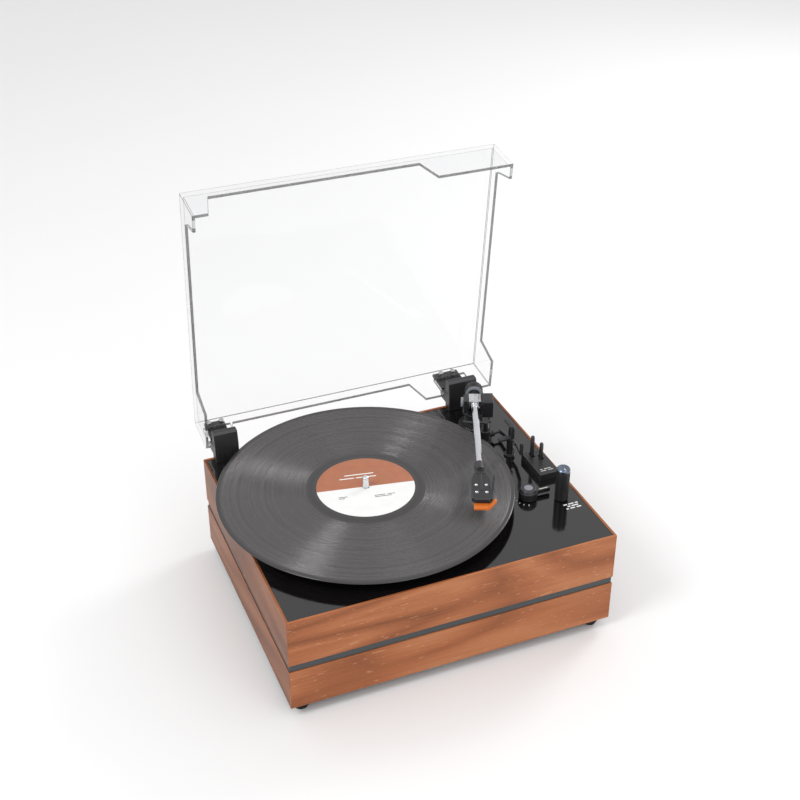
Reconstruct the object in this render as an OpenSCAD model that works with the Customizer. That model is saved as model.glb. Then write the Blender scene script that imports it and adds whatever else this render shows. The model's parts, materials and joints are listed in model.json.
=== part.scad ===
// Turntable record player with a wooden plinth and a clear dust cover.
// Millimetres, +Z up, front towards -Y. The origin is the centre of the footprint of the whole
// player with its cover open, on the surface that the feet stand on.

/* [Plinth] */
// Width of the plinth
body_w = 340; // [336:1:360]
// Depth of the plinth
body_d = 280; // [280:1:300]
// Height of the lower frame
lower_h = 45; // [38:1:50]
// Height of the dark band between the frames
band_h = 8; // [6:1:14]
// Height of the upper frame
upper_h = 52; // [46:1:60]
// Thickness of the boards
board_t = 10; // [9:0.5:12]
// Width of the wooden rim round the top plate
rim_w = 2.5; // [2:0.5:4]
// Height of the rubber feet
foot_h = 12; // [10:1:14]

/* [Platter and record] */
// Radius of the platter
platter_r = 115; // [112:1:125]
// Radius of the record
record_r = 151; // [150:0.5:151]
// Spindle's place to the right of the plinth's middle
spindle_x = -35; // [-37:1:-33]
// Spindle's place behind the plinth's middle
spindle_y = 11.5; // [11:0.5:12.5]
// Radius of the ring that the belt drives
drive_r = 52; // [48:1:56]
// Radius of the motor pulley
pulley_r = 6; // [5:0.5:7]

/* [Tonearm] */
// Arm pivot's place to the right of the plinth's middle
arm_x = 124; // [123:1:125]
// Arm pivot's place behind the plinth's middle
arm_y = 93; // [91:1:94]
// Height of the arm's axis above the top plate
arm_z = 29.5; // [29.5:0.5:30]
// Distance from the pivot to the stylus tip
arm_len = 175; // [174:0.5:176]
// Swing of the arm from straight ahead towards the record
arm_angle = 22.6; // [18:0.1:26]

/* [Dust cover] */
// Angle through which the cover stands open
open_angle = 84; // [80:1:88]
// Outer width of the cover
lid_w = 332; // [328:1:334]
// Height of the cover's top above the plinth
lid_h = 46; // [45:1:52]
// Thickness of the cover's walls
lid_t = 3; // [2.5:0.5:3.5]
// Depth of the walls between the corner tabs
skirt_h = 15; // [12:1:18]

/* [Controls] */
// Height of the volume knob above the top plate
volume_h = 38; // [24:1:38]
// Height of the selector knob above the top plate
selector_h = 12; // [10:1:12]
// Height of the speed toggle above the top plate
speed_toggle_h = 32; // [18:1:34]
// Height of the auto-stop toggle above the top plate
autostop_toggle_h = 26; // [18:1:34]

/* [Hidden] */
$fn = 96;

// Levels
band_z = foot_h + lower_h;
upper_z = band_z + band_h;
top_z = upper_z + upper_h;
plate_t = 2.5;
plate_set = 0.8;
deck_z = top_z - plate_set;

// Fits
running = 0.05;
loose = 0.1;
gap = 0.3;

// Base panel and fasteners
base_t = 5;
base_ledge = 4;
base_screw_inset = 8;
foot_inset = 14;
foot_r = 8;

// Platter stack, above the deck
platter_z = 2.5;
platter_top = 11;
platter_skin = 3;
mat_t = 1.5;
record_z = platter_top + mat_t;
record_t = 1.8;
groove_set = 0.2;
label_r = 50;
label_t = 0.15;
hole_r = 3.65;
pin_r = 3.6;
neck_r = 3.2;
shaft_r = 4;
bush_r = 7;
housing_r = 10;
housing_d = 34;
neck_low = record_z + record_t + 0.05;
neck_top = neck_low + 0.75;
spindle_top = record_z + record_t + 13;

// Belt drive
motor_reach = 85;
motor_turn = 150;
motor_x = spindle_x + motor_reach * cos(motor_turn);
motor_y = spindle_y + motor_reach * sin(motor_turn);
motor_r = 18;
motor_shaft_r = 1;
belt_z = 3.1;
belt_h = 3;
belt_t = 0.8;
grommet_reach = 23;

// Rear panel, on the upper rear board
panel_x = 45;
panel_w = 150;
panel_h = 30;
panel_lip = 4;
panel_t = 2;
panel_z = upper_z + upper_h / 2;
rear_y = body_d / 2;
jack_r = 4.15;
jack_out = 8.5;
jack_places = [-60, -44, -20, -4];
inlet_place = 22;
rocker_place = 56;
rocker_w = 19;
rocker_h = 13;

// Cover and hinges
hinge_y = body_d / 2 + 8.5;
hinge_z = top_z + 10;
lid_rear = body_d / 2 + 4;
lid_front = -body_d / 2 + rim_w + 0.5;
lid_top = top_z + lid_h;
tab_z = top_z + 0.4;
hinge_places = [-146, 127];
hinge_widths = [26, 34];
ear_w = 5;
hinge_pin_r = 2;
notch_gap = 1.8;
tower_front = body_d / 2 - 11;
tower_back = body_d / 2 - 0.5;
tower_top = top_z + 33.5;
peg_r = 1.45;
peg_depth = 6.5;
leaf_t = 3.2;
leaf_set = 2;

// Place of the plinth's middle in the model's frame: half of what the record overhangs on the
// left, and half of what the open cover reaches behind
lid_reach = hinge_y + (lid_rear - hinge_y) * cos(open_angle) + (lid_top - hinge_z) * sin(open_angle);
centre_x = (record_r - spindle_x - body_w / 2) / 2;
centre_y = (body_d / 2 - lid_reach) / 2;

// Arm
tube_r = 3.5;
tube_bore = 2.8;
stub_r = 3;
lift_reach = 34;
lift_turn = 4;
lift_x = arm_x - lift_reach * sin(lift_turn);
lift_y = arm_y - lift_reach * cos(lift_turn);
lift_stem_r = 2.5;
lever_x = 140;
lever_z = 8;
lever_bend_y = 20;
lever_end = [135.2, 1];
rest_x = 134.5;
rest_y = 26;

// Controls
volume_x = 148.5;
volume_y = -64.5;
volume_r = 6.8;
selector_x = 118;
selector_y = -50;
selector_r = 9.5;
stub_shaft_r = 3;
switch_x = [142, 164];
switch_y = [-30, 13];
switch_h = 8;
toggle_pivot = 3.5;
toggle_places = [[150.7, 6.2], [157.7, -0.8]];

// ---- Shared shapes -------------------------------------------------------------------------

// Puts a sub-part, drawn round the plinth's middle, in the model's frame
module plinth_frame() {
  translate([centre_x, centre_y, 0])
    children();
}

// The same, with heights counted from the deck
module deck_frame(x = 0, y = 0) {
  translate([centre_x + x, centre_y + y, deck_z])
    children();
}

// Arm parts point along -Y from the pivot, with the arm's axis at height 0
module arm_frame() {
  deck_frame(arm_x, arm_y)
    translate([0, 0, arm_z])
      rotate([0, 0, -arm_angle])
        children();
}

// Cover parts are drawn closed and swung open about the hinge
module lid_frame() {
  plinth_frame()
    translate([0, hinge_y, hinge_z])
      rotate([-open_angle, 0, 0])
        translate([0, -hinge_y, -hinge_z])
          children();
}

// A box given by its corners
module span(low, high) {
  translate(low)
    cube(high - low);
}

module tube(r_out, r_in, z_low, z_high) {
  rotate_extrude()
    translate([r_in, z_low])
      square([r_out - r_in, z_high - z_low]);
}

module rod_x(r, x_low, x_high) {
  translate([x_low, 0, 0])
    rotate([0, 90, 0])
      cylinder(r = r, h = x_high - x_low);
}

module rod_y(r, y_low, y_high) {
  translate([0, y_high, 0])
    rotate([90, 0, 0])
      cylinder(r = r, h = y_high - y_low);
}

// Extrudes an outline drawn in Y and Z along X
module profile_x(x_low, x_high) {
  translate([x_low, 0, 0])
    rotate([90, 0, 90])
      linear_extrude(x_high - x_low)
        children();
}

// A board with mitred ends, its outer face at y = 0
module mitred_board(length, height) {
  linear_extrude(height)
    polygon([
      [-length / 2, 0], [length / 2, 0],
      [length / 2 - board_t, board_t], [-length / 2 + board_t, board_t]
    ]);
}

// side: 0 front, 1 right, 2 rear, 3 left
module frame_board(side, z, height) {
  length = side % 2 == 0 ? body_w : body_d;
  out = side % 2 == 0 ? body_d / 2 : body_w / 2;
  plinth_frame()
    rotate([0, 0, 90 * side])
      translate([0, -out, z])
        mitred_board(length, height);
}

module base_screw_places() {
  plinth_frame()
    for (x = [-1, 0, 1], y = [-1, 1])
      translate([x * (body_w / 2 - 45), y * (body_d / 2 - base_screw_inset), 0])
        children();
  plinth_frame()
    for (x = [-1, 1])
      translate([x * (body_w / 2 - base_screw_inset), 0, 0])
        children();
}

module foot_places() {
  plinth_frame()
    for (x = [-1, 1], y = [-1, 1])
      translate([x * (body_w / 2 - foot_inset), y * (body_d / 2 - foot_inset), 0])
        children();
}

module grommet_places() {
  deck_frame(motor_x, motor_y)
    for (turn = [30, 150, 270])
      rotate([0, 0, turn])
        translate([grommet_reach, 0, 0])
          children();
}

// ---- Plinth --------------------------------------------------------------------------------

module plate_pocket() {
  plinth_frame()
    span([-body_w / 2 + rim_w, -body_d / 2 + rim_w, deck_z - plate_t],
         [body_w / 2 - rim_w, body_d / 2 - rim_w, top_z + 1]);
}

module upper_board(side) {
  color("peru")
    difference() {
      frame_board(side, upper_z, upper_h);
      plate_pocket();
      if (side == 2) {
        rear_opening();
        hinge_peg_holes(peg_depth + 0.5);
      }
    }
}

module base_pocket() {
  plinth_frame()
    span([-body_w / 2 + base_ledge, -body_d / 2 + base_ledge, foot_h - 1],
         [body_w / 2 - base_ledge, body_d / 2 - base_ledge, foot_h + base_t]);
}

module lower_board(side) {
  color("peru")
    difference() {
      frame_board(side, foot_h, lower_h);
      base_pocket();
      base_screw_places()
        translate([0, 0, foot_h])
          cylinder(r = 1.5, h = base_t + 12, $fn = 32);
    }
}

module upper_board_front() { upper_board(0); }
module upper_board_right() { upper_board(1); }
module upper_board_rear() { upper_board(2); }
module upper_board_left() { upper_board(3); }
module lower_board_front() { lower_board(0); }
module lower_board_right() { lower_board(1); }
module lower_board_rear() { lower_board(2); }
module lower_board_left() { lower_board(3); }

module accent_band() {
  set = 1;
  color("darkslategray")
    plinth_frame()
      difference() {
        span([-body_w / 2 + set, -body_d / 2 + set, band_z],
             [body_w / 2 - set, body_d / 2 - set, upper_z]);
        span([-body_w / 2 + board_t, -body_d / 2 + board_t, band_z - 1],
             [body_w / 2 - board_t, body_d / 2 - board_t, upper_z + 1]);
      }
}

module top_plate() {
  side_gap = 0.2;
  low = deck_z - plate_t;
  color("black")
    difference() {
      plinth_frame()
        span([-body_w / 2 + rim_w + side_gap, -body_d / 2 + rim_w + side_gap, low],
             [body_w / 2 - rim_w - side_gap, body_d / 2 - rim_w - side_gap, deck_z]);
      deck_frame(spindle_x, spindle_y)
        translate([0, 0, -5])
          cylinder(r = housing_r + gap, h = 10);
      deck_frame(motor_x, motor_y)
        translate([0, 0, -5])
          cylinder(r = pulley_r + 3, h = 10);
      deck_frame(arm_x, arm_y)
        translate([0, 0, -5])
          cylinder(r = 8, h = 10);
      for (place = [[volume_x, volume_y], [selector_x, selector_y]])
        deck_frame(place[0], place[1])
          translate([0, 0, -5])
            cylinder(r = 3.8, h = 10, $fn = 48);
      deck_frame()
        span([switch_x[0] + 4, switch_y[0] + 4, -5], [switch_x[1] - 4, switch_y[1] - 4, 5]);
      grommet_places()
        translate([0, 0, -5])
          cylinder(r = 1.6, h = 10, $fn = 32);
      hinge_peg_holes(plate_t + 1);
    }
}

module base_panel() {
  side_gap = 0.2;
  edge = base_ledge + side_gap;
  color("dimgray")
    difference() {
      union() {
        plinth_frame()
          span([-body_w / 2 + edge, -body_d / 2 + edge, foot_h],
               [body_w / 2 - edge, body_d / 2 - edge, foot_h + base_t]);
        board_posts()
          cylinder(r = 3, h = 12, $fn = 32);
      }
      foot_places()
        translate([0, 0, foot_h - 1])
          cylinder(r = 1.9, h = base_t + 2, $fn = 32);
      base_screw_places() {
        translate([0, 0, foot_h - 1])
          cylinder(r = 1.6, h = base_t + 2, $fn = 32);
        translate([0, 0, foot_h - 1])
          cylinder(r = 3.3, h = 2.6, $fn = 48);
      }
    }
}

module base_screws() {
  color("silver")
    base_screw_places() {
      translate([0, 0, foot_h + 0.2])
        cylinder(r = 3.2, h = 1.4, $fn = 48);
      translate([0, 0, foot_h + 0.2])
        cylinder(r = 1.5, h = base_t + 11, $fn = 32);
    }
}

module feet() {
  recess_r = 4;
  recess_h = 4.5;
  screw_hole = 2;
  color("black")
    foot_places()
      rotate_extrude()
        polygon([
          [recess_r, 0], [foot_r - 1.6, 0], [foot_r - 0.8, 0.8], [foot_r, foot_h - 1.5],
          [foot_r - 0.6, foot_h], [screw_hole, foot_h], [screw_hole, recess_h], [recess_r, recess_h]
        ]);
}

module foot_screws() {
  color("silver")
    foot_places() {
      translate([0, 0, 2.2])
        cylinder(r = 3.5, h = 2.3, $fn = 48);
      translate([0, 0, 4])
        cylinder(r = 1.8, h = foot_h + base_t - 4.5, $fn = 32);
    }
}

// ---- Drive ---------------------------------------------------------------------------------

module bearing_housing() {
  flange_r = 19;
  color("gray")
    deck_frame(spindle_x, spindle_y) {
      tube(housing_r, bush_r, -housing_d + 4, 1);
      tube(flange_r, housing_r - 0.5, -plate_t - 3, -plate_t);
      translate([0, 0, -housing_d])
        cylinder(r = housing_r, h = 4.01);
    }
}

module bearing_bush() {
  color("goldenrod")
    deck_frame(spindle_x, spindle_y)
      tube(bush_r, shaft_r + running, -housing_d + 4.5, 1.5);
}

module spindle() {
  nose = 2;
  color("silver")
    deck_frame(spindle_x, spindle_y)
      rotate_extrude()
        polygon([
          [0, -housing_d + 4.4], [shaft_r, -housing_d + 4.4], [shaft_r, platter_top],
          [pin_r, platter_top], [pin_r, neck_low], [neck_r, neck_low], [neck_r, neck_top],
          [pin_r, neck_top], [pin_r, spindle_top - nose], [pin_r - 0.5, spindle_top - 0.8],
          [pin_r - 1.6, spindle_top], [0, spindle_top]
        ]);
}

module platter() {
  skirt_t = 5;
  hub_r = 12;
  ring_t = 3;
  height = platter_top - platter_z;
  color("darkgray")
    deck_frame(spindle_x, spindle_y)
      rotate_extrude($fn = 180) {
        translate([shaft_r, platter_z])
          square([hub_r - shaft_r, height]);
        translate([shaft_r, platter_top - platter_skin])
          square([platter_r - shaft_r - 1, platter_skin]);
        translate([drive_r - ring_t, platter_z])
          square([ring_t, height - 1]);
        polygon([
          [platter_r - skirt_t, platter_z], [platter_r - 0.8, platter_z], [platter_r, platter_z + 0.8],
          [platter_r, platter_top - 1.2], [platter_r - 1.2, platter_top],
          [platter_r - skirt_t, platter_top]
        ]);
      }
}

module slip_mat() {
  color("dimgray")
    deck_frame(spindle_x, spindle_y)
      tube(platter_r - 2, pin_r + 0.4, platter_top, platter_top + mat_t, $fn = 180);
}

module record() {
  land = label_r + 4;
  bead = record_r - 4.5;
  lip = record_r - 2.5;
  color("dimgray")
    deck_frame(spindle_x, spindle_y)
      translate([0, 0, record_z])
        rotate_extrude($fn = 180)
          polygon([
            [hole_r, 0], [label_r, 0], [land, groove_set], [bead, groove_set], [lip, 0],
            [record_r - 0.5, groove_set], [record_r, 0.7], [record_r, record_t - 0.7],
            [record_r - 0.5, record_t - groove_set], [lip, record_t], [bead, record_t - groove_set],
            [land, record_t - groove_set], [label_r, record_t], [hole_r, record_t]
          ]);
}

module record_label() {
  color("white")
    deck_frame(spindle_x, spindle_y)
      tube(label_r, hole_r, record_z + record_t, record_z + record_t + label_t);
}

module motor() {
  boss_r = 5;
  top = -plate_t - 4.5;
  color("silver")
    deck_frame(motor_x, motor_y) {
      tube(motor_r, motor_shaft_r + running, top - 24, top);
      tube(boss_r, motor_shaft_r + running, top, top + 3);
    }
}

module motor_bracket() {
  thick = 2;
  color("gray")
    difference() {
      deck_frame(motor_x, motor_y)
        translate([0, 0, -plate_t - 4.5])
          cylinder(r = grommet_reach + 6, h = thick);
      deck_frame(motor_x, motor_y)
        translate([0, 0, -plate_t - 5])
          cylinder(r = 5.2, h = 4);
      grommet_places()
        translate([0, 0, -plate_t - 5])
          cylinder(r = 1.6, h = 4, $fn = 32);
    }
}

module motor_grommets() {
  color("black")
    grommet_places()
      tube(4.5, 1.6, -plate_t - 2.5, -plate_t);
}

module motor_screws() {
  color("silver")
    grommet_places() {
      translate([0, 0, -plate_t - 8])
        cylinder(r = 1.5, h = 8 + plate_t - 0.3, $fn = 32);
      translate([0, 0, -plate_t - 6.5])
        cylinder(r = 3, h = 2, $fn = 48);
    }
}

module motor_pulley() {
  flange = 1.2;
  color("goldenrod")
    deck_frame(motor_x, motor_y)
      rotate_extrude()
        polygon([
          [0, -plate_t - 14], [motor_shaft_r, -plate_t - 14], [motor_shaft_r, 1.6],
          [pulley_r + flange, 1.6], [pulley_r + flange, 2.4], [pulley_r, 2.9],
          [pulley_r, belt_z + belt_h + 0.2], [pulley_r + flange, belt_z + belt_h + 0.7],
          [pulley_r + flange, belt_z + belt_h + 1.2], [0, belt_z + belt_h + 1.2]
        ]);
}

module belt_outline(extra) {
  hull() {
    circle(r = drive_r + loose + extra);
    translate([motor_reach, 0])
      circle(r = pulley_r + loose + extra);
  }
}

module drive_belt() {
  color("black")
    deck_frame(spindle_x, spindle_y)
      rotate([0, 0, motor_turn])
        translate([0, 0, belt_z])
          linear_extrude(belt_h)
            difference() {
              belt_outline(belt_t);
              belt_outline(0);
            }
}

// ---- Electrics -----------------------------------------------------------------------------

board_place = [55, -55];
board_size = [130, 84];

module board_posts() {
  plinth_frame()
    for (x = [-1, 1], y = [-1, 1])
      translate([board_place[0] + x * (board_size[0] / 2 - 5),
                 board_place[1] + y * (board_size[1] / 2 - 5), foot_h + base_t])
        children();
}

module main_board() {
  low = foot_h + base_t + 12;
  copper = 1.6;
  top = low + copper;
  color("darkgreen")
    plinth_frame()
      translate([board_place[0], board_place[1], 0]) {
        span([-board_size[0] / 2, -board_size[1] / 2, low], [board_size[0] / 2, board_size[1] / 2, top]);
        span([-50, -30, top], [-20, -18, top + 20]);
        span([0, -10, top], [14, 4, top + 3]);
        span([26, -14, top], [44, 0, top + 4]);
        span([20, 20, top], [54, 30, top + 9]);
        for (x = [-46, -32, -18])
          translate([x, 8, top])
            cylinder(r = 5, h = 14, $fn = 48);
      }
}

module rear_opening() {
  plinth_frame() {
    span([panel_x - panel_w / 2, rear_y - board_t - 1, panel_z - panel_h / 2],
         [panel_x + panel_w / 2, rear_y + 1, panel_z + panel_h / 2]);
    span([panel_x - panel_w / 2 - panel_lip, rear_y - panel_t, panel_z - panel_h / 2 - panel_lip],
         [panel_x + panel_w / 2 + panel_lip, rear_y + 1, panel_z + panel_h / 2 + panel_lip]);
  }
}

// Something drawn along +Y on the rear panel's outer face
module on_panel(x) {
  plinth_frame()
    translate([panel_x - x, rear_y, panel_z])
      children();
}

module rear_panel() {
  edge = panel_lip - 0.2;
  color("black")
    difference() {
      plinth_frame()
        span([panel_x - panel_w / 2 - edge, rear_y - panel_t, panel_z - panel_h / 2 - edge],
             [panel_x + panel_w / 2 + edge, rear_y, panel_z + panel_h / 2 + edge]);
      for (place = jack_places)
        on_panel(place)
          rod_y(jack_r, -panel_t - 1, 1, $fn = 48);
      on_panel(inlet_place)
        rod_y(5.5, -panel_t - 1, 1);
      on_panel(rocker_place)
        span([-rocker_w / 2, -panel_t - 1, -rocker_h / 2], [rocker_w / 2, 1, rocker_h / 2]);
    }
}

module rca_jacks() {
  collar = 1.2;
  color("gold")
    for (place = jack_places)
      on_panel(place)
        difference() {
          union() {
            rod_y(jack_r, -panel_t - 6, jack_out, $fn = 48);
            rod_y(jack_r + 1.8, 0, collar, $fn = 48);
          }
          rod_y(1.6, jack_out - 8, jack_out + 1, $fn = 32);
        }
}

module power_inlet() {
  pin_out = -0.5;
  color("black")
    on_panel(inlet_place) {
      difference() {
        union() {
          rod_y(5.5, -panel_t - 10, 0);
          rod_y(7, 0, 1.4);
        }
        rod_y(2.8, -9, 2, $fn = 48);
      }
      rod_y(1.05, -9.5, pin_out, $fn = 32);
    }
}

module power_rocker() {
  half = rocker_w / 2 - 1.2;
  rise = [3.5, 2.6, 4.7];
  axle_r = 1.2;
  color("black")
    on_panel(rocker_place)
      translate([0, -panel_t, 0]) {
        linear_extrude(rocker_h - 2.4, center = true)
          polygon([
            [-half, 0], [-half + 1, -5], [half - 1, -5], [half, 0],
            [half, rise[0]], [0, rise[1]], [-half, rise[2]]
          ]);
        cylinder(r = axle_r, h = rocker_h - 0.8, center = true, $fn = 32);
      }
}

// ---- Cover and hinges ----------------------------------------------------------------------

// Where the pegs under the hinge blocks go down through the plate
module hinge_peg_places() {
  deck_frame()
    for (place = hinge_places, x = [-8, 8])
      translate([place + x, tower_front + 5.6, 0])
        children();
}

module hinge_peg_holes(depth) {
  hinge_peg_places()
    translate([0, 0, -depth])
      cylinder(r = peg_r + running, h = depth + 1, $fn = 32);
}

module hinge_base(i) {
  place = hinge_places[i];
  width = hinge_widths[i];
  step_y = body_d / 2 - rim_w - 0.3;
  ear_r = 5;
  color("black")
    plinth_frame()
      difference() {
        union() {
          profile_x(place - width / 2, place + width / 2)
            polygon([
              [tower_front, deck_z], [step_y, deck_z], [step_y, top_z], [tower_back, top_z],
              [tower_back, tower_top], [tower_front + 4, tower_top], [tower_front + 2.4, tower_top - 1],
              [tower_front, tower_top - 14]
            ]);
          for (side = [-1, 1])
            translate([place + side * (width - ear_w) / 2, 0, 0])
              profile_x(-ear_w / 2, ear_w / 2) {
                translate([tower_back - 1, hinge_z - ear_r])
                  square([hinge_y - tower_back + 1, 2 * ear_r]);
                translate([hinge_y, hinge_z])
                  circle(r = ear_r);
              }
          for (x = [-8, 8])
            translate([place + x, tower_front + 5.6, deck_z - peg_depth])
              cylinder(r = peg_r, h = peg_depth + 1, $fn = 32);
        }
        translate([place, hinge_y, hinge_z])
          rod_x(hinge_pin_r, -width, width, $fn = 48);
      }
}

module hinge_base_left() { hinge_base(0); }
module hinge_base_right() { hinge_base(1); }

module hinge_pins() {
  color("silver")
    plinth_frame()
      for (i = [0, 1])
        translate([hinge_places[i], hinge_y, hinge_z])
          rod_x(hinge_pin_r, -hinge_widths[i] / 2, hinge_widths[i] / 2, $fn = 48);
}

module leaf_screw_places() {
  for (place = hinge_places, x = [-7, 7])
    translate([place + x, 0, lid_top - 9])
      children();
}

module hinge_leaf(i) {
  place = hinge_places[i];
  barrel_r = 4.6;
  barrel_w = hinge_widths[i] - 2 * ear_w - 2 * 0.4;
  half = hinge_widths[i] / 2 - leaf_set;
  plate_low = hinge_z + 6;
  face_y = lid_rear + gap;
  color("black")
    lid_frame()
      difference() {
        union() {
          profile_x(place - barrel_w / 2, place + barrel_w / 2) {
            translate([hinge_y, hinge_z])
              circle(r = barrel_r);
            translate([face_y, hinge_z])
              square([leaf_t, plate_low - hinge_z + 1]);
          }
          span([place - half, face_y, plate_low], [place + half, face_y + leaf_t, lid_top - 3]);
        }
        translate([place, hinge_y, hinge_z])
          rod_x(hinge_pin_r + running, -barrel_w, barrel_w, $fn = 48);
        leaf_screw_places()
          rod_y(1.5, lid_rear - 1, lid_rear + 5, $fn = 32);
      }
}

module hinge_leaf_left() { hinge_leaf(0); }
module hinge_leaf_right() { hinge_leaf(1); }

module hinge_screws() {
  outer = lid_rear + gap + leaf_t;
  inner = lid_rear - lid_t;
  color("silver")
    lid_frame()
      leaf_screw_places() {
        rod_y(1.5, inner - 2, outer + 1.4, $fn = 32);
        rod_y(2.8, outer, outer + 1.6, $fn = 48);
        rod_y(2.8, inner - 1.8, inner, $fn = 48);
      }
}

// Outline of a cover wall, its top edge at 0: shallow in the middle, deep tabs at both ends
module skirt_outline(length, tab_a, tab_b) {
  deep = lid_top - tab_z;
  slant = 8;
  polygon([
    [0, 0], [length, 0], [length, -deep], [length - tab_b, -deep],
    [length - tab_b - slant, -skirt_h], [tab_a + slant, -skirt_h], [tab_a, -deep], [0, -deep]
  ]);
}

module wall_along_x(y, tab_a, tab_b) {
  translate([-lid_w / 2, y + lid_t, lid_top])
    rotate([90, 0, 0])
      linear_extrude(lid_t)
        skirt_outline(lid_w, tab_a, tab_b);
}

module wall_along_y(x, tab_a, tab_b) {
  translate([x, lid_front, lid_top])
    rotate([90, 0, 90])
      linear_extrude(lid_t)
        skirt_outline(lid_rear - lid_front, tab_a, tab_b);
}

// The rear wall is cut away round each hinge block
module hinge_notch(place, half) {
  span([place - half, lid_rear - lid_t - 1, tab_z - 1], [place + half, lid_rear + 1, lid_top - skirt_h]);
}

module dust_cover() {
  color("lightcyan", 0.4)
    lid_frame()
      difference() {
        union() {
          span([-lid_w / 2, lid_front, lid_top - lid_t], [lid_w / 2, lid_rear, lid_top]);
          wall_along_x(lid_front, 16, 82);
          wall_along_x(lid_rear - lid_t, 30, 80);
          wall_along_y(-lid_w / 2, 18, 45);
          wall_along_y(lid_w / 2 - lid_t, 17, 35);
        }
        for (i = [0, 1])
          hinge_notch(hinge_places[i], hinge_widths[i] / 2 + notch_gap);
        leaf_screw_places()
          rod_y(1.5, lid_rear - lid_t - 1, lid_rear + 1, $fn = 32);
      }
}

module lid_bumpers() {
  thick = 0.6;
  length = 8;
  color("lightgray")
    lid_frame()
      for (x = [-1, 1], y = [lid_front + 5, lid_rear - 24])
        translate([x * (lid_w / 2 - lid_t / 2), y + length / 2, tab_z - thick / 2])
          cube([lid_t - 0.4, length, thick], center = true);
}

// ---- Tonearm -------------------------------------------------------------------------------

module tonearm_base() {
  color("black")
    deck_frame(arm_x, arm_y) {
      tube(17, shaft_r + running, 0, 3);
      tube(10.5, shaft_r + running, 2.9, 15.6);
      tube(7.7, shaft_r + running, -plate_t - 8, 0.1);
    }
}

module arm_yoke() {
  axis_bore = 2.06;
  top = 5.5;
  color("dimgray")
    difference() {
      arm_frame() {
        translate([0, 0, 16 - arm_z])
          cylinder(r = 13, h = 3);
        translate([0, 0, -arm_z - 8])
          cylinder(r = shaft_r, h = 24.1);
        span([-12, -7, 18 - arm_z], [-8, 7, top]);
        span([8, -10, 16 - arm_z], [20, 10, top]);
      }
      arm_frame()
        rod_x(axis_bore, -14, 17, $fn = 48);
    }
}

module arm_shaft() {
  color("silver")
    arm_frame() {
      rod_x(2, -14, 16, $fn = 48);
      rod_x(5.5, -15, -12.3);
    }
}

module arm_tube() {
  block = 6.5;
  color("silver")
    arm_frame()
      difference() {
        union() {
          span([-block, -8, -6], [block, 8, 6]);
          rod_y(tube_r, -126, -7);
          rod_y(stub_r, 7, 31.5);
        }
        rod_y(tube_bore, -127, -12);
        rod_x(2, -block - 1, block + 1, $fn = 48);
      }
}

module headshell() {
  half = 10;
  thick = 3.4;
  low = -1;
  lip = 1.4;
  color("black")
    arm_frame() {
      difference() {
        rod_y(5.2, -130, -118);
        rod_y(tube_r, -126, -117);
      }
      translate([0, 0, low])
        linear_extrude(thick)
          polygon([
            [-4, -129], [4, -129], [half, -147], [half, -178], [half - 3, -181],
            [-half + 3, -181], [-half, -178], [-half, -147]
          ]);
      for (side = [-1, 1])
        translate([side * (half - lip / 2), -163, low - 1])
          cube([lip, 30, 2.2], center = true);
      hull() {
        span([half - 1, -177, low + 0.6], [half + 0.6, -170, low + 2.2]);
        span([half + 2.4, -154, low + 10], [half + 4, -149, low + 11.4]);
      }
    }
}

module cartridge() {
  color("black")
    arm_frame()
      difference() {
        union() {
          span([-8.2, -178, -8], [8.2, -160, -1]);
          span([-5.5, -160, -7], [5.5, -156, -2.5]);
        }
        span([-3, -161.5, -9], [3, -155, -7]);
      }
}

module stylus() {
  tip = arm_z - (record_z + record_t - groove_set) - 4;
  color("orange")
    arm_frame() {
      profile_x(-8, 8)
        polygon([
          [-163, -8], [-178.2, -8], [-178.2, -4], [-184, -6.5], [-184, -8.8], [-177.5, -10.8], [-166, -10]
        ]);
      hull() {
        span([6, -184, -8], [8, -181, -5.5]);
        span([12.5, -182, -1], [14, -178.5, 1.5]);
      }
      translate([0, -arm_len, -tip])
        cylinder(r1 = 0.3, r2 = 0.8, h = tip - 10, $fn = 16);
    }
}

module counterweight() {
  color("dimgray")
    arm_frame()
      difference() {
        rod_y(9.5, 16, 28);
        rod_y(stub_r + 0.06, 15, 29);
      }
}

// A post with a shelf under the parked arm, a wall on its right side and a hole for the lock's pin
module arm_rest() {
  shelf_z = 21;
  wall_top = 34.2;
  color("black")
    deck_frame(rest_x, rest_y)
      difference() {
        union() {
          cylinder(r = 6, h = 2);
          cylinder(r = 3.5, h = shelf_z + 0.1);
          span([-13.5, -3, shelf_z], [3.5, 3, shelf_z + 2.4]);
          span([-1, -3, shelf_z], [3.5, 3, wall_top]);
        }
        translate([1.25, 0, wall_top - 6])
          cylinder(r = 1.1, h = 10, $fn = 32);
      }
}

module arm_lock() {
  low = 34.5;
  thick = 2;
  color("black")
    deck_frame(rest_x + 1.25, rest_y) {
      translate([0, 0, low - 5.5])
        cylinder(r = 1.04, h = 6, $fn = 32);
      translate([0, 0, low])
        linear_extrude(thick)
          union() {
            circle(r = 2.6, $fn = 48);
            translate([-2, 0])
              square([4, 14]);
            translate([0, 14])
              circle(r = 2, $fn = 48);
          }
    }
}

module cue_housing() {
  boss = 3.4;
  color("black")
    deck_frame(lift_x, lift_y)
      difference() {
        union() {
          cylinder(r = 7, h = 2);
          cylinder(r = 5, h = 14);
          translate([0, 0, lever_z])
            rod_x(boss, 0, 10);
        }
        translate([0, 0, 2])
          cylinder(r = lift_stem_r + 0.08, h = 13, $fn = 48);
        translate([0, 0, lever_z])
          rod_x(1.56, 4, 11, $fn = 32);
      }
}

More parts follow.
